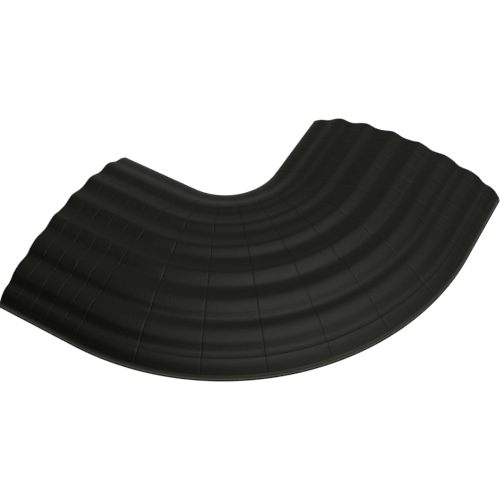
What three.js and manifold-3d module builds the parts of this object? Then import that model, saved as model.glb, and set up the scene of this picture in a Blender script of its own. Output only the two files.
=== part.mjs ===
// Balance pad, ninety degree bend module.
//
// A low crowned, ribbed walking and standing pad. Seventeen moulded foam
// segments (five straight slats, seven wedges, five straight slats) stand side
// by side on one continuous anti-slip rubber sheet. Neighbouring segments key
// into one another with a tongue and a groove, and a continuous rubber bead
// with a thin foot tucked under the segments finishes the inner and the outer
// edge.
//
// Frame: millimetres, +Z up. The origin is the middle of the pad's bounding
// rectangle on the floor, below the centre wedge. The bend opens towards +Y,
// the left leg is on the -X side, and the pad is symmetric about X = 0.

import * as THREE from 'three';
import { mergeVertices } from 'three/addons/utils/BufferGeometryUtils.js';
import Module from 'manifold-3d';

// ---------------------------------------------------------------- dimensions

const WIDTH = 400;            // inner edge to outer edge, square to the path
const INNER_RADIUS = 113;     // inner edge of the bend
const OUTER_RADIUS = INNER_RADIUS + WIDTH;
const BEND = Math.PI / 2;     // angle turned by the bend
const HALF_BEND = BEND / 2;
const LEG = 160;              // straight length beyond each end of the bend

const SLATS = 5;              // segments in each straight leg
const WEDGES = 7;             // segments in the bend
const STEPS = 4;              // facets along the arc of one wedge
const SLAT_LENGTH = LEG / SLATS;
const WEDGE_ANGLE = BEND / WEDGES;

const GAP = 0.4;              // clearance between neighbouring segments
const CLEAR = 0.3;            // clearance between stacked or nested pieces

const SHEET = 2.5;            // thickness of the anti-slip sheet
const SHEET_LIP = 1.5;        // sheet stands this far beyond the beads

const BEAD_WIDTH = 3.5;       // edge bead, seen from above
const BEAD_SIDE = 8.0;        // height where its side and its sloping top would cross
const BEAD_NOSE = 4.6;        // rounding starts and ends this far from that crossing
const NOSE_STEPS = 4;         // facets round the nose
const FOOT_REACH = 20;        // thin foot of the bead, tucked under the segments
const FOOT_THICK = 1.5;

const FLOOR = SHEET + CLEAR;            // underside of the segments and beads
const FOOT_TOP = FLOOR + FOOT_THICK;
const REBATE = FOOT_TOP + CLEAR;        // segment underside over a foot

const TONGUE_START = 60;      // tongue runs between these distances from the
const TONGUE_END = 340;       // inner edge
const TONGUE_Z = 20;          // mid height of the tongue
const TONGUE_ROOT = 16;       // height of the tongue at its root
const TONGUE_TIP = 12;        // height of the tongue at its tip
const TONGUE_DEPTH = 5;
const TONGUE_FIT = 0.5;       // groove larger than the tongue all round
const KEY_OVERLAP = 2;        // key solid carried back past the face it joins or cuts

const WELD_TOLERANCE = 1e-4;

// Top of the segments: [distance from the inner edge, height above the floor].
// A crown carrying six rounded ribs.
const TOP = [
  [3.8, 12.65], [8.3, 16.75], [11, 18.86], [15, 21.32], [20, 23.68], [25, 25.80],
  [30, 28.21], [35, 31.45], [40, 35.22], [45, 39.04], [50, 42.30], [55, 44.72],
  [60, 46.31], [65, 46.70], [70, 46.29], [75, 46.06], [80, 46.63], [85, 48.17],
  [90, 50.55], [95, 53.38], [100, 56.21], [105, 58.75], [110, 60.63],
  [115, 61.28], [120, 60.66], [125, 59.70], [130, 58.95], [135, 58.79],
  [140, 59.37], [145, 60.59], [150, 62.48], [155, 64.76], [160, 66.87],
  [165, 68.54], [170, 68.93], [175, 68.15], [180, 66.78], [185, 65.19],
  [190, 64.07], [195, 63.75], [200, 63.98], [205, 64.62], [210, 65.70],
  [215, 67.21], [220, 68.66], [225, 69.06], [230, 68.28], [235, 66.94],
  [240, 64.99], [245, 62.63], [250, 60.94], [255, 60.50], [260, 60.67],
  [265, 61.24], [270, 62.14], [275, 62.81], [280, 62.50], [285, 61.43],
  [290, 59.87], [295, 57.91], [300, 55.15], [305, 52.06], [310, 50.12],
  [315, 49.56], [320, 49.68], [325, 49.88], [330, 49.62], [335, 48.73],
  [340, 47.24], [345, 45.27], [350, 42.57], [355, 38.38], [360, 33.98],
  [365, 31.09], [370, 29.87], [375, 29.18], [380, 27.35], [385, 24.17],
  [388.5, 21.17], [391.7, 17.78], [396.2, 12.46],
];
const [TOP_INNER, TOP_OUTER] = [TOP[0], TOP[TOP.length - 1]];

// ------------------------------------------------------------------ stations

// The arc centre sits this far along +Y, which centres the sheet on the origin.
const SHEET_Y_MAX = -(INNER_RADIUS - SHEET_LIP) * Math.cos(HALF_BEND) + LEG * Math.sin(HALF_BEND);
const SHEET_Y_MIN = -(OUTER_RADIUS + SHEET_LIP);
const ARC_CENTRE_Y = -(SHEET_Y_MAX + SHEET_Y_MIN) / 2;

// A station is a straight line across the pad: the point where radius zero
// would lie, and the unit vector running outwards along the line. It stands at
// `angle` round the bend, moved `along` the tangent there. Angle and path
// length both grow from the left leg, round the bend, to the right leg.
function bendStation(angle, along = 0) {
  return {
    foot: [Math.cos(angle) * along, Math.sin(angle) * along + ARC_CENTRE_Y],
    out: [Math.sin(angle), -Math.cos(angle)],
  };
}

// Station in the left (side -1) or right (side +1) leg, `distance` from the bend.
function legStation(side, distance) {
  return bendStation(side * HALF_BEND, side * distance);
}

// Point at `across` from the pad's inner edge, at height z.
function pointAt({ foot, out }, across, z) {
  const radius = INNER_RADIUS + across;
  return [foot[0] + out[0] * radius, foot[1] + out[1] * radius, z];
}

// Segment faces are pulled back half a gap from the joint plane, and stay
// parallel to it.
function wedgeStations(wedge) {
  const start = -HALF_BEND + wedge * WEDGE_ANGLE;
  const row = [bendStation(start, GAP / 2)];
  for (let k = 1; k < STEPS; k++) row.push(bendStation(start + (WEDGE_ANGLE * k) / STEPS));
  row.push(bendStation(start + WEDGE_ANGLE, -GAP / 2));
  return row;
}

function slatStations(side, slat) {
  const near = slat * SLAT_LENGTH + GAP / 2;
  const far = slat === SLATS - 1 ? LEG : (slat + 1) * SLAT_LENGTH - GAP / 2;
  const row = [legStation(side, near), legStation(side, far)];
  return side < 0 ? row.reverse() : row;
}

// The whole path, for the sheet and the beads.
function pathStations() {
  const facets = WEDGES * STEPS;
  const row = [legStation(-1, LEG)];
  for (let k = 0; k <= facets; k++) row.push(bendStation(-HALF_BEND + (BEND * k) / facets));
  row.push(legStation(1, LEG));
  return row;
}

// ------------------------------------------------------------------ solids

const wasm = await Module();
wasm.setup();

const toVectors = (points) => points.map(([x, y]) => new THREE.Vector2(x, y));

function signedVolume(geometry) {
  const { index, attributes: { position } } = geometry;
  const [a, b, c] = [new THREE.Vector3(), new THREE.Vector3(), new THREE.Vector3()];
  let volume = 0;
  for (let i = 0; i < index.count; i += 3) {
    a.fromBufferAttribute(position, index.getX(i));
    b.fromBufferAttribute(position, index.getX(i + 1));
    c.fromBufferAttribute(position, index.getX(i + 2));
    volume += a.dot(b.cross(c)) / 6;
  }
  return volume;
}

// Turns every triangle over if the skin faces inwards.
function faceOutward(geometry) {
  if (signedVolume(geometry) < 0) {
    const corners = geometry.index.array;
    for (let i = 0; i < corners.length; i += 3) {
      [corners[i + 1], corners[i + 2]] = [corners[i + 2], corners[i + 1]];
    }
  }
  return geometry;
}

// Closed, indexed skin with positions only.
function weld(geometry) {
  geometry.deleteAttribute('normal');
  geometry.deleteAttribute('uv');
  return faceOutward(mergeVertices(geometry, WELD_TOLERANCE));
}

// Closed skin of a section [across, z] carried through a row of stations.
function sweep(section, stations) {
  const count = section.length;
  const positions = stations.flatMap((station) => (
    section.flatMap(([across, z]) => pointAt(station, across, z))
  ));
  const index = [];
  for (let i = 0; i + 1 < stations.length; i++) {
    const [here, next] = [i * count, (i + 1) * count];
    for (let j = 0; j < count; j++) {
      const k = (j + 1) % count;
      index.push(here + j, here + k, next + k);
      index.push(here + j, next + k, next + j);
    }
  }

  // End caps, triangulated counter-clockwise and numbered back to the section.
  const contour = toVectors(section);
  const clockwise = THREE.ShapeUtils.isClockWise(contour);
  if (clockwise) contour.reverse();
  const last = (stations.length - 1) * count;
  for (const face of THREE.ShapeUtils.triangulateShape(contour, [])) {
    const [a, b, c] = clockwise ? face.map((i) => count - 1 - i).reverse() : face;
    index.push(a, c, b);
    index.push(last + a, last + b, last + c);
  }

  const geometry = new THREE.BufferGeometry();
  geometry.setAttribute('position', new THREE.Float32BufferAttribute(positions, 3));
  geometry.setIndex(index);
  return faceOutward(geometry);
}

function toSolid(geometry) {
  const skin = weld(geometry);
  return new wasm.Manifold(new wasm.Mesh({
    numProp: 3,
    vertProperties: new Float32Array(skin.attributes.position.array),
    triVerts: new Uint32Array(skin.index.array),
  }));
}

function toGeometry(solid) {
  const { vertProperties, triVerts } = solid.getMesh();
  const geometry = new THREE.BufferGeometry();
  const positions = new Float32Array(vertProperties);
  geometry.setAttribute('position', new THREE.BufferAttribute(positions, 3));
  geometry.setIndex(new THREE.BufferAttribute(new Uint32Array(triVerts), 1));
  return geometry;
}

// ---------------------------------------------------------------- sections

// Crowned top, and an underside rebated at both edges over the bead feet.
function segmentSection() {
  const step = BEAD_WIDTH + FOOT_REACH + CLEAR;
  return [
    [TOP_INNER[0], REBATE],
    [step, REBATE],
    [step, FLOOR],
    [WIDTH - step, FLOOR],
    [WIDTH - step, REBATE],
    [TOP_OUTER[0], REBATE],
    ...TOP.slice().reverse(),
  ];
}

// Bead whose sloping top carries the segments' edge on down, with a rounded
// nose, an upright outer side and a thin foot. Drawn for the inner edge; `meet`
// is the height of the bead where it meets the segments.
function beadSection(meet) {
  const corner = new THREE.Vector2(0, BEAD_SIDE);
  const noseStart = new THREE.Vector2(0, BEAD_SIDE - BEAD_NOSE);
  const noseEnd = new THREE.Vector2(BEAD_WIDTH, meet).sub(corner).setLength(BEAD_NOSE).add(corner);
  const nose = new THREE.QuadraticBezierCurve(noseStart, corner, noseEnd);
  return [
    [0, FLOOR],
    ...nose.getPoints(NOSE_STEPS).map(({ x, y }) => [x, y]),
    [BEAD_WIDTH, meet],
    [BEAD_WIDTH, FOOT_TOP],
    [BEAD_WIDTH + FOOT_REACH, FOOT_TOP],
    [BEAD_WIDTH + FOOT_REACH, FLOOR],
  ];
}

// ------------------------------------------------------------------ pieces

// Tapered key that crosses the segment face at `station` and points along the
// path in the sense `towards` (+1 or -1). `fit` enlarges it all round.
function key(station, towards, fit) {
  const depth = TONGUE_DEPTH + fit;
  const start = TONGUE_START - fit;
  const end = TONGUE_END + fit;
  const slope = (TONGUE_ROOT - TONGUE_TIP) / 2 / TONGUE_DEPTH;
  const halfRoot = TONGUE_ROOT / 2 + fit;
  const halfBack = halfRoot + slope * KEY_OVERLAP;
  const halfTip = halfRoot - slope * depth;
  const profile = new THREE.Shape(toVectors([
    [-KEY_OVERLAP, -halfBack],
    [depth, -halfTip],
    [depth, halfTip],
    [-KEY_OVERLAP, halfBack],
  ]));
  const geometry = new THREE.ExtrudeGeometry(profile, { depth: end - start, bevelEnabled: false });

  // Profile x runs along the path, profile y runs up, the extrusion runs outwards.
  const [outX, outY] = station.out;
  const placement = new THREE.Matrix4().makeBasis(
    new THREE.Vector3(-outY * towards, outX * towards, 0),
    new THREE.Vector3(0, 0, 1),
    new THREE.Vector3(outX, outY, 0),
  );
  placement.setPosition(...pointAt(station, start, TONGUE_Z));
  return toSolid(geometry.applyMatrix4(placement));
}

// A segment through a row of stations. Its `left` (first) and `right` (last)
// faces are each 'tongue', 'groove' or 'plain'.
function segment(stations, left, right) {
  let solid = toSolid(sweep(segmentSection(), stations));
  const faces = [
    [stations[0], left, -1],
    [stations[stations.length - 1], right, 1],
  ];
  for (const [station, kind, outOfFace] of faces) {
    if (kind === 'tongue') {
      solid = solid.add(key(station, outOfFace, 0));
    } else if (kind === 'groove') {
      solid = solid.subtract(key(station, -outOfFace, TONGUE_FIT));
    }
  }
  return toGeometry(solid);
}

function baseSheet() {
  const row = pathStations();
  const inner = row.map((station) => pointAt(station, -SHEET_LIP, 0));
  const outer = row.map((station) => pointAt(station, WIDTH + SHEET_LIP, 0));
  const outline = new THREE.Shape(toVectors([...inner, ...outer.reverse()]));
  return weld(new THREE.ExtrudeGeometry(outline, { depth: SHEET, bevelEnabled: false }));
}

function innerBead() {
  return sweep(beadSection(TOP_INNER[1] - CLEAR), pathStations());
}

function outerBead() {
  const section = beadSection(TOP_OUTER[1] - CLEAR).map(([across, z]) => [WIDTH - across, z]);
  return sweep(section, pathStations());
}

// --------------------------------------------------------------- materials

const matt = (color, roughness) => (
  new THREE.MeshStandardMaterial({ color, roughness, metalness: 0 })
);
const foamSkin = () => matt(0x242421, 0.58);
const beadRubber = () => matt(0x1d1d1b, 0.42);
const sheetRubber = () => matt(0x161614, 0.8);

// ---------------------------------------------------------------- assembly

function addPiece(parent, name, geometry, material) {
  geometry.computeVertexNormals();
  const mesh = new THREE.Mesh(geometry, material);
  mesh.name = name;
  parent.add(mesh);
}

function baseGroup() {
  const group = new THREE.Group();
  addPiece(group, 'base_sheet', baseSheet(), sheetRubber());
  addPiece(group, 'inner_edge_bead', innerBead(), beadRubber());
  addPiece(group, 'outer_edge_bead', outerBead(), beadRubber());
  return group;
}

// Every tongue points towards the centre wedge, which has two grooves, so the
// left and the right half are mirror images. Slats count away from the bend,
// wedges from left to right.
function legGroup(name, side) {
  const group = new THREE.Group();
  for (let i = 0; i < SLATS; i++) {
    const farFace = i === SLATS - 1 ? 'plain' : 'groove';
    const faces = side < 0 ? [farFace, 'tongue'] : ['tongue', farFace];
    addPiece(group, `${name}_slat_${i + 1}`, segment(slatStations(side, i), ...faces), foamSkin());
  }
  return group;
}

function bendGroup() {
  const group = new THREE.Group();
  const middle = (WEDGES - 1) / 2;
  for (let i = 0; i < WEDGES; i++) {
    const left = i > middle ? 'tongue' : 'groove';
    const right = i < middle ? 'tongue' : 'groove';
    addPiece(group, `bend_wedge_${i + 1}`, segment(wedgeStations(i), left, right), foamSkin());
  }
  return group;
}

const pad = new THREE.Group();
pad.add(baseGroup(), legGroup('left', -1), bendGroup(), legGroup('right', 1));

export default pad;
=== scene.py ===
# A V-shaped floor pad of black foam segments between two rubber beads, on a studded
# rubber sheet. Two straight legs run back (+Y) to the left (-X) and right (+X) of a
# quarter bend, whose outermost point faces -Y. The underside is at the bottom (Z = 0).
# Sections are drawn in millimetres: distance outward from the inner edge, and height z.
import math

import bmesh
import bpy
import numpy as np
from mathutils import Matrix, Vector
from mathutils.geometry import tessellate_polygon


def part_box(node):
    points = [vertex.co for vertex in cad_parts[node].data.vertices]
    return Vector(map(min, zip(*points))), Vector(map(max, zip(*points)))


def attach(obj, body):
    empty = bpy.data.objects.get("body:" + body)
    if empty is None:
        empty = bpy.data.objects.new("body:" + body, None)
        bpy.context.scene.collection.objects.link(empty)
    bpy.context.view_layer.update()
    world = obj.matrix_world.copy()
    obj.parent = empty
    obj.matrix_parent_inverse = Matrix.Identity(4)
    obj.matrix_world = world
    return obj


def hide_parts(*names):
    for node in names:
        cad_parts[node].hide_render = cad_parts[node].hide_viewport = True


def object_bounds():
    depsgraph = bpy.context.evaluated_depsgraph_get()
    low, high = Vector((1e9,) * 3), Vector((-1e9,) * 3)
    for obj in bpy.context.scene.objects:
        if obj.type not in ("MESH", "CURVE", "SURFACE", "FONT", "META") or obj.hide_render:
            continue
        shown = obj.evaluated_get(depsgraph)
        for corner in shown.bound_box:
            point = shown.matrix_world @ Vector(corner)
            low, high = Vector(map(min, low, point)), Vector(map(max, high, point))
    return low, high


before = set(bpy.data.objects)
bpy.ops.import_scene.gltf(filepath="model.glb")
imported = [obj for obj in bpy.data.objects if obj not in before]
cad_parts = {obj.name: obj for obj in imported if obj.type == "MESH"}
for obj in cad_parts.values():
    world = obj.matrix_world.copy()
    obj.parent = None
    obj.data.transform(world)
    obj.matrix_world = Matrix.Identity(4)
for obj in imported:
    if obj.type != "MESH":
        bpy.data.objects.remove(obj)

MM = 0.001
cad_lo, cad_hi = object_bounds()

# ---------------------------------------------------------------------- plan
# Read back from the CAD boxes of the two beads.
HALF_BEND = math.pi / 4
COS45 = math.cos(HALF_BEND)
BEAD_WIDTH = 3.5
BEAD_FOOT = 20.0            # reach of the bead's foot under the segments
outer_lo, outer_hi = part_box("outer_edge_bead")
_, inner_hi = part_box("inner_edge_bead")
_, sheet_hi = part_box("base_sheet")
LEG_END_Y = inner_hi.y / MM         # inner corner of each leg's end
BEND_FRONT_Y = outer_lo.y / MM      # outermost point of the bend
LEG_END_X = outer_hi.x / MM         # outer corner of each leg's end
FOOT_END_X = inner_hi.x / MM        # toe of the inner bead's foot there
WIDTH = (LEG_END_X - FOOT_END_X) / COS45 + BEAD_WIDTH + BEAD_FOOT
# FOOT_END_X = (radius + bead + foot + leg) * cos45
# LEG_END_Y - BEND_FRONT_Y = (leg - radius) * cos45 + radius + width
RADIUS_AND_LEG = FOOT_END_X / COS45 - BEAD_WIDTH - BEAD_FOOT
LEG = ((LEG_END_Y - BEND_FRONT_Y - WIDTH - RADIUS_AND_LEG * (1 - COS45))
       / (2 * COS45 - 1))
INNER_RADIUS = RADIUS_AND_LEG - LEG
CENTRE_Y = BEND_FRONT_Y + INNER_RADIUS + WIDTH      # centre of the bend, at x = 0
SLATS = sum(1 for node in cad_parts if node.startswith("left_slat_"))
WEDGES = sum(1 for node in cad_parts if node.startswith("bend_wedge_"))

# ------------------------------------------------------------------- heights
JOINT_GAP = 0.06            # between the faces of neighbouring segments
SHEET_TOP = sheet_hi.z / MM
FLOOR = SHEET_TOP + 0.3     # underside of the segments and beads
FOOT_TOP = FLOOR + 1.5
REBATE = FOOT_TOP + 0.3     # underside of the segments over the beads' feet
SEGMENT_IN, SEGMENT_OUT = 3.8, WIDTH - 3.8

# Segments' top: distance from the inner edge, height.
TOP = np.array([
    (3.8, 12.35), (8.3, 16.15), (11, 18.26), (15, 20.69), (20, 23.13), (25, 25.01), (30, 27.41),
    (35, 30.86), (40, 35.08), (45, 39.29), (50, 42.74), (55, 45.20), (60, 46.86), (65, 47.28),
    (70, 46.79), (75, 46.47), (80, 47.02), (85, 48.58), (90, 50.94), (95, 53.81), (100, 56.69),
    (105, 59.14), (110, 60.99), (115, 61.72), (120, 61.10), (125, 60.13), (130, 59.37),
    (135, 59.30), (140, 59.95), (145, 61.06), (150, 62.75), (155, 64.83), (160, 66.77),
    (165, 68.46), (170, 68.88), (175, 68.04), (180, 66.67), (185, 65.07), (190, 64.03),
    (195, 63.88), (200, 64.30), (205, 64.89), (210, 65.77), (215, 67.13), (220, 68.62),
    (225, 68.91), (230, 67.93), (235, 66.53), (240, 64.64), (245, 62.54), (250, 61.23),
    (255, 60.98), (260, 61.24), (265, 61.77), (270, 62.51), (275, 62.97), (280, 62.43),
    (285, 61.24), (290, 59.54), (295, 57.50), (300, 54.70), (305, 51.49), (310, 49.55),
    (315, 48.97), (320, 49.08), (325, 49.34), (330, 49.06), (335, 48.14), (340, 46.63),
    (345, 44.67), (350, 42.20), (355, 38.26), (360, 34.00), (365, 31.20), (370, 30.06),
    (375, 29.25), (380, 27.25), (385, 24.15), (388.5, 21.29), (391.7, 17.83), (396.2, 12.46)])

# Fine lines along the top: distance from the inner edge, spread, height.
FINE_LINES = [(374.5, 0.7, 0.40), (371.2, 1.5, -0.15), (300.6, 0.8, -0.11), (355.6, 0.8, -0.16)]
DENSE_AT = (374.5, 371.7, 300.6, 355.6)     # where the outline is sampled finely


def natural_spline(x, y):
    """Interpolating cubic spline with no curvature at its ends."""
    count = len(x)
    gap = np.diff(x)
    system = np.zeros((count, count))
    target = np.zeros(count)
    system[0, 0] = system[-1, -1] = 1
    for i in range(1, count - 1):
        system[i, i - 1:i + 2] = gap[i - 1], 2 * (gap[i - 1] + gap[i]), gap[i]
        target[i] = 6 * ((y[i + 1] - y[i]) / gap[i] - (y[i] - y[i - 1]) / gap[i - 1])
    curvature = np.linalg.solve(system, target)

    def value(at):
        i = np.clip(np.searchsorted(x, at) - 1, 0, count - 2)
        past, left = at - x[i], x[i + 1] - at
        return ((curvature[i] * left ** 3 + curvature[i + 1] * past ** 3) / (6 * gap[i])
                + (y[i] / gap[i] - curvature[i] * gap[i] / 6) * left
                + (y[i + 1] / gap[i] - curvature[i + 1] * gap[i] / 6) * past)
    return value


top_spline = natural_spline(TOP[:, 0], TOP[:, 1])


def top_height(across):
    """Height of the segments' top, with its fine lines."""
    z = top_spline(across)
    for at, spread, height in FINE_LINES:
        z = z + height * np.exp(-0.5 * ((across - at) / spread) ** 2)
    return float(z)


# ------------------------------------------------------------------ stations
# A station is a point on the path in plan and the outward direction there.

def bend_station(angle, along=0.0):
    return (np.array([math.cos(angle) * along, math.sin(angle) * along + CENTRE_Y]),
            np.array([math.sin(angle), -math.cos(angle)]))


def leg_station(side, distance):
    """side is -1 for the left leg, 1 for the right; distance is from the bend."""
    return (np.array([side * COS45 * distance, COS45 * distance + CENTRE_Y]),
            np.array([side * COS45, -COS45]))


def path_stations(bend_step, leg_step, end_easing=()):
    """(station, inset) pairs from the left leg's end to the right leg's end.

    bend_step is in degrees; end_easing lists (distance from the end, inset)."""
    leg = [(LEG - back, inset) for back, inset in end_easing]
    leg_steps = round(LEG / leg_step)
    for k in range(leg_steps):
        distance = LEG - k * LEG / leg_steps
        if not end_easing or distance <= LEG - end_easing[-1][0] - 0.5:
            leg.append((distance, 0.0))
    bend_steps = round(90 / bend_step)
    angles = [-HALF_BEND + 2 * HALF_BEND * k / bend_steps for k in range(bend_steps + 1)]
    return ([(leg_station(-1, distance), inset) for distance, inset in leg]
            + [(bend_station(angle), 0.0) for angle in angles]
            + [(leg_station(1, distance), inset) for distance, inset in reversed(leg)])


def place(station, across, z):
    point, outward = station
    reach = INNER_RADIUS + np.asarray(across, float)
    return np.stack([point[0] + outward[0] * reach, point[1] + outward[1] * reach,
                     np.asarray(z, float) + 0 * reach], -1)


# ---------------------------------------------------------- outlines, meshes

def line_points(start, end, steps):
    """Points from start up to, but not including, end."""
    start, end = np.array(start, float), np.array(end, float)
    return [start + (end - start) * i / steps for i in range(steps)]


def curve_points(start, corner, end, steps):
    """Quadratic curve from start to end, drawn towards corner."""
    start, corner, end = (np.array(point, float) for point in (start, corner, end))
    shares = [k / steps for k in range(steps + 1)]
    return [(1 - t) ** 2 * start + 2 * t * (1 - t) * corner + t * t * end for t in shares]


def outline_normals(points):
    """Mitred normals, outward for a counter-clockwise outline."""
    ahead = np.roll(points, -1, 0) - points
    behind = points - np.roll(points, 1, 0)
    ahead /= np.linalg.norm(ahead, axis=1)[:, None] + 1e-12
    behind /= np.linalg.norm(behind, axis=1)[:, None] + 1e-12
    normal_ahead = np.stack([ahead[:, 1], -ahead[:, 0]], 1)
    normal = normal_ahead + np.stack([behind[:, 1], -behind[:, 0]], 1)
    normal = normal / np.maximum(np.linalg.norm(normal, axis=1)[:, None], 1e-9)
    return normal / np.maximum((normal * normal_ahead).sum(1)[:, None], 0.6)


def quad_strip(rings, count):
    """Quads between successive closed rings of count points."""
    i = np.arange(rings - 1)[:, None] * count
    j = np.arange(count)[None]
    k = (j + 1) % count
    return np.stack([i + j, i + count + j, i + count + k, i + k], -1).reshape(-1, 4).tolist()


def make_piece(name, node, slot, verts, faces, smooth_faces, sharp_angle=38.0):
    """Mesh object in place of a CAD node; its first smooth_faces faces are smooth."""
    mesh = bpy.data.meshes.new(name)
    counts = np.array([len(face) for face in faces])
    corners = np.fromiter((i for face in faces for i in face), np.int32, int(counts.sum()))
    mesh.vertices.add(len(verts))
    mesh.vertices.foreach_set("co", (verts * MM).astype(np.float32).ravel())
    mesh.loops.add(len(corners))
    mesh.loops.foreach_set("vertex_index", corners)
    mesh.polygons.add(len(faces))
    starts = np.concatenate([[0], np.cumsum(counts)[:-1]]).astype(np.int32)
    mesh.polygons.foreach_set("loop_start", starts)
    mesh.update(calc_edges=True)
    mesh.polygons.foreach_set("use_smooth", np.arange(len(faces)) < smooth_faces)
    mesh.validate()
    bm = bmesh.new()
    bm.from_mesh(mesh)
    bmesh.ops.recalc_face_normals(bm, faces=bm.faces)
    bm.to_mesh(mesh)
    bm.free()
    mesh.set_sharp_from_angle(angle=math.radians(sharp_angle))
    piece = bpy.data.objects.new(name, mesh)
    bpy.context.scene.collection.objects.link(piece)
    piece.data.materials.append(MATERIALS[slot])
    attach(piece, "root")
    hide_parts(node)


# ----------------------------------------------------------------- materials

class Shader:
    """Short ways to add nodes to one node tree."""

    def __init__(self, tree):
        self.tree = tree

    def connect(self, node, inputs):
        """Link sockets and set values; inputs maps a socket's name or index to either."""
        for socket, value in inputs.items():
            if isinstance(value, bpy.types.NodeSocket):
                self.tree.links.new(value, node.inputs[socket])
            else:
                node.inputs[socket].default_value = value

    def node(self, kind, inputs=None, **settings):
        node = self.tree.nodes.new("ShaderNode" + kind)
        for name, value in settings.items():
            setattr(node, name, value)
        self.connect(node, inputs or {})
        return node

    def coordinates(self):
        return self.node("TexCoord").outputs["Object"]

    def math(self, operation, *operands):
        return self.node("Math", dict(enumerate(operands)), operation=operation).outputs[0]

    def noise(self, where, scale, detail, roughness=0.5, output="Fac"):
        return self.node("TexNoise", {"Vector": where, "Scale": scale, "Detail": detail,
                                      "Roughness": roughness}).outputs[output]

    def remap(self, value, target, source=(0.3, 0.7)):
        """Map the source range to the target; the default is a noise's usual range."""
        return self.node("MapRange", {
            "Value": value, "From Min": source[0], "From Max": source[1],
            "To Min": target[0], "To Max": target[1]}).outputs["Result"]

    def tint(self, colour, tone):
        return self.node("VectorMath", {0: colour, "Scale": tone},
                         operation="SCALE").outputs[0]

    def bump(self, height):
        """Normal for a height in millimetres."""
        inputs = {"Strength": 1.0, "Distance": MM, "Height": height}
        return self.node("Bump", inputs).outputs[0]


def new_material(name):
    material = bpy.data.materials.new(name)
    material.use_nodes = True
    shader = Shader(material.node_tree)
    shader.tree.nodes.clear()
    output = shader.node("OutputMaterial")
    surface = shader.node("BsdfPrincipled")
    shader.tree.links.new(surface.outputs[0], output.inputs[0])
    return material, shader, surface


def foam_skin():
    """Near-black foam skin: leather grain with painted shade in its creases, cloudy tone and
    gloss, paler and duller edges.
    """
    material, shader, surface = new_material("foam_skin")
    where = shader.coordinates()
    warp = shader.noise(where, scale=140.0, detail=2.0, output="Color")
    warp_reach = (0.0012,) * 3
    warped = shader.node("VectorMath", {0: warp, 1: warp_reach, 2: where},
                         operation="MULTIPLY_ADD").outputs[0]
    cells = shader.node("TexVoronoi", {"Vector": warped, "Scale": 430.0, "Smoothness": 0.45},
                        feature="SMOOTH_F1").outputs["Distance"]
    creases = shader.node("TexVoronoi", {"Vector": warped, "Scale": 250.0},
                          feature="DISTANCE_TO_EDGE").outputs["Distance"]
    crease = shader.remap(creases, source=(0.0, 0.16), target=(0.0, 1.0))
    fine = shader.noise(where, scale=1500.0, detail=3.0, roughness=0.6)
    peel = shader.noise(where, scale=120.0, detail=3.0, roughness=0.55)
    cloud = shader.noise(where, scale=9.0, detail=4.0, roughness=0.6)
    blotch = shader.noise(where, scale=46.0, detail=3.0, roughness=0.55)
    pits = shader.noise(where, scale=270.0, detail=2.0, roughness=0.6)

    # depth of each layer of grain, in millimetres
    layers = ((cells, -0.055), (crease, 0.030), (fine, 0.012), (peel, 0.16), (pits, 0.22))
    cell_h, crease_h, fine_h, peel_h, pit_h = (
        shader.math("MULTIPLY", pattern, depth) for pattern, depth in layers)
    coarse = shader.math("ADD", cell_h, crease_h)
    rest = shader.math("ADD", shader.math("ADD", fine_h, peel_h), pit_h)
    normal = shader.bump(shader.math("ADD", coarse, rest))

    pointiness = shader.node("NewGeometry").outputs["Pointiness"]
    edge = shader.remap(pointiness, source=(0.515, 0.60), target=(0.0, 1.0))
    edge_lift, edge_dulling = 0.5, 0.06
    tone = shader.math("MULTIPLY", shader.remap(cloud, target=(0.86, 1.14)),
                       shader.remap(blotch, target=(0.93, 1.07)))
    # painted shade: the grain's recessed creases are darker
    painted_crease_shade = shader.remap(crease, source=(0.0, 1.0), target=(0.82, 1.03))
    tone = shader.math("MULTIPLY", tone, painted_crease_shade)
    tone = shader.math("MULTIPLY_ADD", edge, edge_lift, tone)
    roughness = shader.math("ADD", shader.remap(blotch, target=(0.39, 0.45)),
                            shader.math("MULTIPLY", edge, edge_dulling))
    shader.connect(surface, {
        "Base Color": shader.tint(colour=(0.0052, 0.0054, 0.0043), tone=tone),
        "Roughness": roughness, "Specular IOR Level": 0.5, "IOR": 1.48, "Normal": normal})
    return material


def bead_rubber():
    """Smooth rubber with faint lines along it, paler low on its side as a painted reflection of
    the floor.
    """
    material, shader, surface = new_material("bead_rubber")
    where = shader.coordinates()
    fine = shader.noise(where, scale=900.0, detail=3.0, roughness=0.6)
    blotch = shader.noise(where, scale=60.0, detail=3.0, roughness=0.55)
    height = shader.node("SeparateXYZ", {"Vector": where}).outputs["Z"]
    lines_per_metre, fine_depth, line_depth = 2600.0, 0.018, 0.05
    position = shader.math("MULTIPLY", height, lines_per_metre)
    lines = shader.node("TexNoise", {"W": position, "Scale": 1.0, "Detail": 2.0},
                        noise_dimensions="1D").outputs["Fac"]
    relief = shader.math("ADD", shader.math("MULTIPLY", fine, fine_depth),
                         shader.math("MULTIPLY", lines, line_depth))
    normal = shader.bump(relief)
    tone = shader.remap(blotch, target=(0.88, 1.12))
    # dust gathers low on the side
    # painted reflection of the floor: the side is made up to 7.5 times paler towards its bottom
    painted_floor_reflection = shader.remap(height, source=(0.0078, 0.0042), target=(1.0, 7.5))
    tone = shader.math("MULTIPLY", tone, painted_floor_reflection)
    shader.connect(surface, {
        "Base Color": shader.tint(colour=(0.030, 0.0305, 0.0265), tone=tone),
        "Roughness": shader.remap(blotch, target=(0.28, 0.36)), "IOR": 1.6,
        "Normal": normal})
    return material


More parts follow.
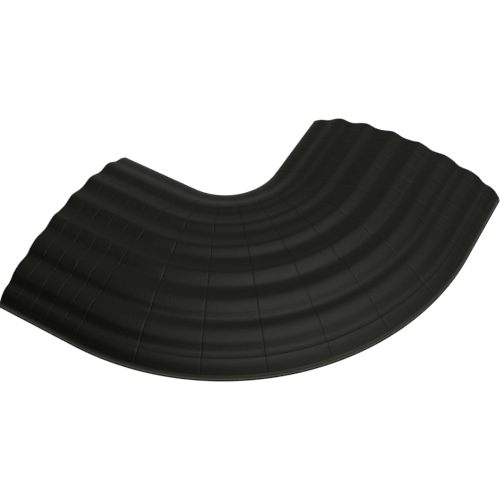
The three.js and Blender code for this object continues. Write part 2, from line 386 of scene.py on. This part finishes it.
def sheet_rubber():
    """Matt rubber."""
    material, shader, surface = new_material("sheet_rubber")
    where = shader.coordinates()
    fine = shader.noise(where, scale=1100.0, detail=4.0, roughness=0.65)
    blotch = shader.noise(where, scale=40.0, detail=4.0, roughness=0.6)
    fine_depth = 0.06
    normal = shader.bump(shader.math("MULTIPLY", fine, fine_depth))
    tone = shader.remap(blotch, target=(0.8, 1.2))
    shader.connect(surface, {
        "Base Color": shader.tint(colour=(0.0030, 0.0030, 0.0027), tone=tone),
        "Roughness": 0.85, "Specular IOR Level": 0.25, "Normal": normal})
    return material


MATERIALS = {"foam_skin": foam_skin(), "bead_rubber": bead_rubber(),
             "sheet_rubber": sheet_rubber()}

# ------------------------------------------------------------------ segments
EDGE_ROUND = 0.35           # rounding where the top meets the sides
EASE_WIDTH = 2.60           # width of the easing along each segment's face edges
SLAT_EASE, WEDGE_EASE = 0.28, 0.42          # its depth at the face
EASE_SHARES = [0.0, 0.12, 0.3, 0.55, 0.8, 1.0]
FACE_SPLIT = 9.0            # height where a face round a key is cut in two

# Key on the joint faces: a tapered tongue and the groove that takes it.
KEY_IN, KEY_OUT, KEY_HEIGHT, KEY_CLIP = 60, 340, 20, 1.0
KEY_ROOT, KEY_TIP = 16, 12                  # thickness at the face and at full depth
KEY_LEVELS = ((0.0, 0.0), (0.85, 0.0), (1.0, -0.45))    # share of depth, growth
KEY_KINDS = {"tongue": (0.0, -5.0), "groove": (0.5, 5.5)}   # growth, depth into the body


def segment_outline():
    """Section of a segment, counter-clockwise from its lower inner corner."""
    foot_in = BEAD_WIDTH + BEAD_FOOT + 0.3
    foot_out = WIDTH - BEAD_WIDTH - BEAD_FOOT - 0.3
    top_in, top_out = top_height(SEGMENT_IN), top_height(SEGMENT_OUT)
    curve_in, curve_out = SEGMENT_IN + EDGE_ROUND, SEGMENT_OUT - EDGE_ROUND
    points = (line_points((SEGMENT_IN, REBATE), (foot_in, REBATE), 4)
              + line_points((foot_in, REBATE), (foot_in, FLOOR), 1)
              + line_points((foot_in, FLOOR), (foot_out, FLOOR), 40)
              + line_points((foot_out, FLOOR), (foot_out, REBATE), 1)
              + line_points((foot_out, REBATE), (SEGMENT_OUT, REBATE), 4)
              + line_points((SEGMENT_OUT, REBATE), (SEGMENT_OUT, top_out - EDGE_ROUND), 6)
              + curve_points((SEGMENT_OUT, top_out - EDGE_ROUND), (SEGMENT_OUT, top_out),
                             (curve_out, top_height(curve_out)), 6)[:-1])
    across = curve_out
    while across > curve_in + 0.3:
        points.append(np.array([across, top_height(across)]))
        if across <= curve_in + 0.6:
            break
        nearest = min(abs(across - at) for at in DENSE_AT)
        across -= 0.35 if nearest < 2.4 else 1.25
    points += curve_points((curve_in, top_height(curve_in)), (SEGMENT_IN, top_in),
                           (SEGMENT_IN, top_in - EDGE_ROUND), 6)[:-1]
    points += line_points((SEGMENT_IN, top_in - EDGE_ROUND), (SEGMENT_IN, REBATE), 6)
    return np.array(points)


OUTLINE = segment_outline()
OUTLINE_NORMALS = outline_normals(OUTLINE)


def key_loop(grow, share):
    """Rectangle of the key at a share of its depth, with clipped corners."""
    half = KEY_ROOT / 2 + (KEY_TIP / 2 - KEY_ROOT / 2) * share + grow
    left, right = KEY_IN - grow, KEY_OUT + grow
    low, high = KEY_HEIGHT - half, KEY_HEIGHT + half
    return np.array([
        (left + KEY_CLIP, low), (right - KEY_CLIP, low),
        (right, low + KEY_CLIP), (right, high - KEY_CLIP),
        (right - KEY_CLIP, high), (left + KEY_CLIP, high),
        (left, high - KEY_CLIP), (left, low + KEY_CLIP)])


def key_faces(face_section, base, first):
    """Faces of a keyed joint: its outline starts at vertex base, its key at first."""
    count = len(OUTLINE)
    split_in, split_out = (
        int(np.argmin(np.hypot(face_section[:, 0] - side, face_section[:, 1] - FACE_SPLIT)))
        for side in (SEGMENT_IN, SEGMENT_OUT))
    lower = list(range(split_in, count)) + list(range(split_out + 1))
    upper = range(split_out, split_in + 1)
    faces = [[base + i for i in lower] + [first + i for i in (2, 1, 0, 7)],
             [base + i for i in upper] + [first + i for i in (7, 6, 5, 4, 3, 2)]]
    for level in range(len(KEY_LEVELS) - 1):
        near, far = first + level * 8, first + (level + 1) * 8
        for j in range(8):
            k = (j + 1) % 8
            faces.append([near + j, near + k, far + k, far + j])
    last = first + (len(KEY_LEVELS) - 1) * 8
    return faces + [list(range(last, last + 8))]


def build_segment(node, station_at, ease_depth, end_kinds, steps):
    """station_at(part, along) gives a station: along is the distance into the segment
    from its "start" or "end" face, or the share of its "body" between the easings.
    end_kinds holds "tongue", "groove" or "plain" for the start and the end."""
    easing = [(EASE_WIDTH * share, ease_depth * (1 - share) ** 2) for share in EASE_SHARES]
    sections = ([("start", along, inset) for along, inset in easing]
                + [("body", k / steps, 0.0) for k in range(1, steps)]
                + [("end", along, inset) for along, inset in reversed(easing)])
    rings = []
    for part, along, inset in sections:
        section = OUTLINE - OUTLINE_NORMALS * inset
        rings.append(place(station_at(part, along), section[:, 0], section[:, 1]))
    count = len(OUTLINE)
    verts = np.concatenate(rings)
    faces = quad_strip(len(rings), count)
    smooth_faces = len(faces)
    face_section = OUTLINE - OUTLINE_NORMALS * ease_depth
    ends = (("start", 0, 1), ("end", (len(rings) - 1) * count, -1))
    for (part, base, winding), kind in zip(ends, end_kinds):
        if kind == "plain":
            end_faces = [list(range(base, base + count))]
        else:
            end_faces = key_faces(face_section, base, len(verts))
            grow, depth = KEY_KINDS[kind]
            for share, extra in KEY_LEVELS:
                loop = key_loop(grow + extra, share)
                ring = place(station_at(part, depth * share), loop[:, 0], loop[:, 1])
                verts = np.concatenate([verts, ring])
        faces += [face[::winding] for face in end_faces]
    make_piece(f"{node}_foam", node, "foam_skin", verts, faces, smooth_faces)


def slat_stations(side, i):
    """Stations of a slat; every segment starts at its left joint."""
    near = i * LEG / SLATS + JOINT_GAP / 2
    far = LEG if i == SLATS - 1 else (i + 1) * LEG / SLATS - JOINT_GAP / 2
    first, last = (near, far) if side > 0 else (far, near)
    body = far - near - 2 * EASE_WIDTH

    def station_at(part, along):
        if part == "start":
            return leg_station(side, first + side * along)
        if part == "end":
            return leg_station(side, last - side * along)
        return leg_station(side, first + side * EASE_WIDTH + side * body * along)
    return station_at


def wedge_stations(i):
    step = 2 * HALF_BEND / WEDGES
    first, last = -HALF_BEND + i * step, -HALF_BEND + (i + 1) * step

    def station_at(part, along):
        if part == "start":
            return bend_station(first, JOINT_GAP / 2 + along)
        if part == "end":
            return bend_station(last, -JOINT_GAP / 2 - along)
        # turn from the start plane to the end plane between the easings
        offset = (JOINT_GAP / 2 + EASE_WIDTH) * (1 - 2 * along)
        return bend_station(first + (last - first) * along, offset)
    return station_at


def build_segments():
    for side, word in ((-1, "left"), (1, "right")):
        for i in range(SLATS):
            away = "plain" if i == SLATS - 1 else "groove"
            kinds = (away, "tongue") if side < 0 else ("tongue", away)
            build_segment(f"{word}_slat_{i + 1}", slat_stations(side, i), SLAT_EASE, kinds,
                          steps=10)
    middle = (WEDGES - 1) / 2
    for i in range(WEDGES):
        kinds = ("tongue" if i > middle else "groove", "tongue" if i < middle else "groove")
        build_segment(f"bend_wedge_{i + 1}", wedge_stations(i), WEDGE_EASE, kinds, steps=30)


# --------------------------------------------------------------------- beads
NOSE = 4.6                  # reach of the rounded nose down the side and along the top
END_ROUND = 0.5             # rounding at the leg ends
END_INSET = 0.8             # share of that rounding taken off the section


def bead_outline(meet, proud, side_height):
    """Section of a bead on the inner edge, clockwise: an upright side, a rounded nose,
    a sloping top and a thin foot.

    meet: height where the top touches the segments; proud: how far the side stands out
    from the nominal edge; side_height: where side and top would cross."""
    back = BEAD_WIDTH + 0.15
    toe = BEAD_WIDTH + BEAD_FOOT
    slope = (np.array([back + proud, meet - side_height])
             / math.hypot(back + proud, meet - side_height))
    crossing = np.array([-proud, side_height])
    points = [(0.5 - proud, FLOOR), (0.15 - proud, FLOOR + 0.12), (-proud, FLOOR + 0.4)]
    points += curve_points((-proud, side_height - NOSE), crossing, crossing + slope * NOSE, 12)
    start = points[-1]
    end = np.array([back, meet]) - slope * 0.3
    for k in range(1, 7):
        swell = 0.02 * math.sin(math.pi * k / 6)
        points.append(start + (end - start) * k / 6 + np.array([-slope[1], slope[0]]) * swell)
    points += curve_points(end, (back, meet), (back, meet - 0.35), 5)[1:]
    points += [(back, meet - 2.0), (back, meet - 4.0), (back, FOOT_TOP + 0.5),
               (back + 0.15, FOOT_TOP + 0.12), (back + 0.5, FOOT_TOP),
               (toe - 0.5, FOOT_TOP), (toe - 0.1, FOOT_TOP - 0.3),
               (toe, FLOOR + 0.4), (toe - 0.3, FLOOR)]
    return np.array(points)


def build_bead(name, node, segment_side, proud, side_height, mirrored):
    meet = top_height(segment_side) - 0.15
    outline = bead_outline(meet, proud, side_height)
    inward = outline_normals(outline)       # the outline runs clockwise
    easing = [(END_ROUND * (1 - math.cos(angle)), END_ROUND * (1 - math.sin(angle)))
              for angle in np.linspace(0, math.pi / 2, 4)]
    rings = []
    for station, inset in path_stations(bend_step=0.75, leg_step=8.0, end_easing=easing):
        section = outline + inward * inset * END_INSET
        across = WIDTH - section[:, 0] if mirrored else section[:, 0]
        rings.append(place(station, across, section[:, 1]))
    count = len(outline)
    faces = quad_strip(len(rings), count)
    smooth_faces = len(faces)
    faces.append(list(range(count))[::-1])
    faces.append(list(range((len(rings) - 1) * count, len(rings) * count)))
    make_piece(name, node, "bead_rubber", np.concatenate(rings), faces, smooth_faces)


# --------------------------------------------------------------- base sheet
SHEET_IN, SHEET_OUT = -1.5, WIDTH + 1.5
WEB = 0.7                   # underside of the sheet between the studs
# Edge of the sheet from the top down: inset, height.
SHEET_EDGE = [(0.25, SHEET_TOP), (0.0, SHEET_TOP - 0.25), (0.0, WEB + 0.3), (0.3, WEB)]
# Studs stand on a square lattice turned by 45 degrees, one in each whole cell.
PITCH = 11.0
STEP_A = np.array([COS45, COS45]) * PITCH
STEP_B = np.array([-COS45, COS45]) * PITCH
LATTICE_REACH = 90          # cells to each side of the origin
STUD_MARGIN = 5.0           # clear of the sheet's edge
STUD_RADIUS = 3.0
# Octagonal rings of a stud from its root down: radius, height.
STUD_RINGS = ((STUD_RADIUS, WEB), (STUD_RADIUS - 0.35, 0.18), (STUD_RADIUS - 0.75, 0.0))
STUD_ANGLES = [math.radians(22.5 + 45 * k) for k in range(8)]


def within_margin(points):
    x, y = points[..., 0], points[..., 1] - CENTRE_Y
    near = INNER_RADIUS + SHEET_IN + STUD_MARGIN
    far = INNER_RADIUS + SHEET_OUT - STUD_MARGIN
    radius = np.hypot(x, y)
    within = (np.abs(np.arctan2(x, -y)) <= HALF_BEND) & (radius > near) & (radius < far)
    for side in (-1, 1):
        along = x * side * COS45 + y * COS45
        out = x * side * COS45 - y * COS45
        within |= (along >= 0) & (along < LEG - STUD_MARGIN) & (out > near) & (out < far)
    return within


def stud_cells():
    """Lattice indices of the cells that carry a stud."""
    span = np.arange(-LATTICE_REACH, LATTICE_REACH)
    i, j = np.meshgrid(span, span, indexing="ij")
    corner = within_margin(i[..., None] * STEP_A + j[..., None] * STEP_B)
    cell = corner[:-1, :-1] & corner[1:, :-1] & corner[:-1, 1:] & corner[1:, 1:]
    # drop cells with fewer than two neighbours
    for _ in range(4):
        pad = np.pad(cell, 1).astype(int)
        neighbours = pad[:-2, 1:-1] + pad[2:, 1:-1] + pad[1:-1, :-2] + pad[1:-1, 2:]
        cell = cell & (neighbours >= 2)
    return np.argwhere(cell) - LATTICE_REACH


def boundary_loops(edges):
    """Closed loops of vertices along directed edges."""
    following = {}
    for start, end in edges:
        following.setdefault(start, []).append(end)
    loops = []
    while following:
        current = first = next(iter(following))
        loop = []
        while not loop or current != first:
            loop.append(current)
            end = following[current].pop()
            if not following[current]:
                del following[current]
            current = end
        loops.append(loop)
    return loops


def studded_cells(base):
    """Points (numbered from base), faces and boundary loops of the studded cells."""
    points, faces = [], []
    corner_ids, edges = {}, {}

    def corner_id(i, j):
        if (i, j) not in corner_ids:
            corner_ids[i, j] = base + len(points)
            points.append((*(i * STEP_A + j * STEP_B), WEB))
        return corner_ids[i, j]

    for i, j in stud_cells():
        corners = [corner_id(i, j), corner_id(i + 1, j),
                   corner_id(i + 1, j + 1), corner_id(i, j + 1)]
        middle = (i + 0.5) * STEP_A + (j + 0.5) * STEP_B
        rings = []
        for radius, z in STUD_RINGS:
            first = base + len(points)
            for angle in STUD_ANGLES:
                toward = (STEP_A * math.cos(angle) + STEP_B * math.sin(angle)) / PITCH
                points.append((*(middle + toward * radius), z))
            rings.append(list(range(first, first + 8)))
        # the web round the stud, from the cell's far corner
        root = rings[0]
        for s in range(4):
            corner, after = corners[(s + 2) % 4], corners[(s + 3) % 4]
            faces.append([root[2 * s], root[2 * s + 1], corner])
            faces.append([root[2 * s + 1], root[(2 * s + 2) % 8], after, corner])
        for upper, lower in zip(rings, rings[1:]):
            for k in range(8):
                after = (k + 1) % 8
                faces.append([lower[k], lower[after], upper[after], upper[k]])
        faces.append(rings[-1][::-1])
        # an edge shared by two cells is not on the boundary
        for start, end in zip(corners, corners[1:] + corners[:1]):
            if (end, start) in edges:
                del edges[end, start]
            else:
                edges[start, end] = True
    return points, faces, boundary_loops(edges)


def fill(verts, loops, upward):
    """Triangles between the loops, all facing up or all facing down."""
    ids = [i for loop in loops for i in loop]
    outlines = [[Vector((float(verts[i][0]), float(verts[i][1]), 0)) for i in loop]
                for loop in loops]
    faces = []
    for triangle in tessellate_polygon(outlines):
        face = [ids[i] for i in triangle]
        p, q, r = verts[face]
        area = (q[0] - p[0]) * (r[1] - p[1]) - (r[0] - p[0]) * (q[1] - p[1])
        faces.append(face if (area > 0) == upward else face[::-1])
    return faces


def build_sheet():
    """Sheet with a rolled edge, and studs underneath that reach down to z = 0."""
    stations = [station for station, _ in path_stations(bend_step=1.0, leg_step=20.0)]

    def edge_row(across, z, inset):
        row = [place(station, across, z) for station in stations]
        # the leg ends are drawn in by the same inset
        for k, side in ((0, -1), (-1, 1)):
            row[k] = row[k] - np.array([side * COS45, COS45, 0]) * inset
        return row

    rings = [np.array(edge_row(SHEET_IN + inset, z, inset)
                      + edge_row(SHEET_OUT - inset, z, inset)[::-1])
             for inset, z in SHEET_EDGE]
    count = len(rings[0])
    base = len(rings) * count
    points, cell_faces, loops = studded_cells(base)
    verts = np.concatenate(rings + [np.array(points)])
    rim = [face[::-1] for face in quad_strip(len(rings), count)]
    under = fill(verts, [list(range(base - count, base))] + loops, upward=False)
    top = fill(verts, [list(range(count))], upward=True)
    faces = rim + top + under + cell_faces
    make_piece("base_sheet_rubber", "base_sheet", "sheet_rubber", verts, faces, len(faces),
               sharp_angle=30)


build_segments()
build_bead("inner_bead_rubber", "inner_edge_bead", SEGMENT_IN, proud=1.0, side_height=8.8,
           mirrored=False)
build_bead("outer_bead_rubber", "outer_edge_bead", SEGMENT_OUT, proud=0.0, side_height=8.0,
           mirrored=True)
build_sheet()

# -------------------------------------------------------------------- stage
# Soft sources round the pad: bearing (degrees from +X towards +Y), height above the
# horizon (degrees), tightness, level.
SOURCES = [
    (-50, 61, 5.0, 0.39),      # broad overhead fill from the front right
    (-82, 73, 20.0, 1.11),     # main softbox, high in front
    (3, 68, 20.0, 0.66),       # second softbox, from the right
    (-40, 80, 30.0, 0.18),     # the gap between the two
    (-65, 10, 5.0, 0.64),      # pale wall in front
    (-110, 10, 8.0, 0.07),     # its left end
    (-20, 10, 8.0, 0.05),      # its right end
    (-20, 40, 8.0, 0.08),      # above its right end
    (80, 33, 5.0, 0.17),       # pale wall behind
    (48, 39, 10.0, 0.11),      # its right part
    (62, 3, 14.0, 0.13),       # foot of that wall
    (72, 0, 20.0, 0.18),
    (95, 4, 12.0, 0.04),
    (110, 20, 8.0, 0.03),      # its left part
    (130, 8, 12.0, 0.04),
]
LIGHT_COLOUR = (1.0, 1.012, 0.87, 1)
WHITE = (1, 1, 1, 1)
BACKDROP_LEVEL = 1.1        # what the camera sees of the world


def build_floor(half_size=30.0, drop=0.0002):
    mesh = bpy.data.meshes.new("floor")
    signs = ((-1, -1), (1, -1), (1, 1), (-1, 1))
    mesh.from_pydata([(x * half_size, y * half_size, 0) for x, y in signs], [],
                     [(0, 1, 2, 3)])
    floor = bpy.data.objects.new("floor", mesh)
    floor.location = (0, 0, cad_lo.z - drop)
    bpy.context.scene.collection.objects.link(floor)
    material, shader, surface = new_material("floor_white")
    blotch = shader.noise(shader.coordinates(), scale=3.0, detail=3.0)
    tone = shader.remap(blotch, target=(0.985, 1.0))
    base = shader.tint(colour=(0.62, 0.62, 0.62), tone=tone)
    # the camera sees the floor lifted to a clean white; the pad sees it as lit
    lift = 0.88
    seen = shader.node("LightPath").outputs["Is Camera Ray"]
    shader.connect(surface, {
        "Base Color": base, "Roughness": 0.9, "Specular IOR Level": 0.1,
        "Emission Color": WHITE, "Emission Strength": shader.math("MULTIPLY", seen, lift)})
    floor.data.materials.append(material)


def build_world():
    world = bpy.data.worlds.new("studio")
    world.use_nodes = True
    shader = Shader(world.node_tree)
    direction = shader.node("TexCoord").outputs["Generated"]
    total = 0.0
    for bearing, elevation, tightness, level in SOURCES:
        turn, rise = math.radians(bearing), math.radians(elevation)
        toward = (math.cos(rise) * math.cos(turn), math.cos(rise) * math.sin(turn),
                  math.sin(rise))
        facing = shader.node("VectorMath", {0: direction, 1: toward},
                             operation="DOT_PRODUCT").outputs["Value"]
        falloff = shader.math("MULTIPLY_ADD", facing, tightness, -tightness)
        lobe = shader.math("EXPONENT", falloff)
        total = shader.math("MULTIPLY_ADD", lobe, level, total)
    seen = shader.node("LightPath").outputs["Is Camera Ray"]
    strength = shader.node("Mix", {0: seen, 2: total, 3: BACKDROP_LEVEL}, data_type="FLOAT")
    colour = shader.node("Mix", {0: seen, 6: LIGHT_COLOUR, 7: WHITE}, data_type="RGBA")
    shader.connect(shader.tree.nodes["Background"],
                   {"Strength": strength.outputs[0], "Color": colour.outputs[2]})
    bpy.context.scene.world = world


def build_camera():
    """Camera placed from the bend's centre on the floor, in path widths."""
    data = bpy.data.cameras.new("camera")
    camera = bpy.data.objects.new("camera", data)
    bpy.context.scene.collection.objects.link(camera)
    data.sensor_width = 36.0
    data.lens = 76.564
    data.clip_start, data.clip_end = 0.05, 50
    forward = Vector((0.16352392, 0.57567912, -0.80115759)).normalized()
    up = Vector((0.2042449, 0.77473897, 0.59838411)).normalized()
    right = forward.cross(up).normalized()
    up = right.cross(forward).normalized()
    centre = Vector((0, CENTRE_Y * MM, 0))
    location = Vector((-0.83926821, -3.42174205, 3.92326947)) * (WIDTH * MM) + centre
    rotation = Matrix((right, up, -forward)).transposed()
    camera.matrix_world = Matrix.Translation(location) @ rotation.to_4x4()
    bpy.context.scene.camera = camera


build_floor()
build_world()
build_camera()
bpy.context.scene.view_settings.view_transform = "Standard"
bpy.context.scene.view_settings.look = "None"
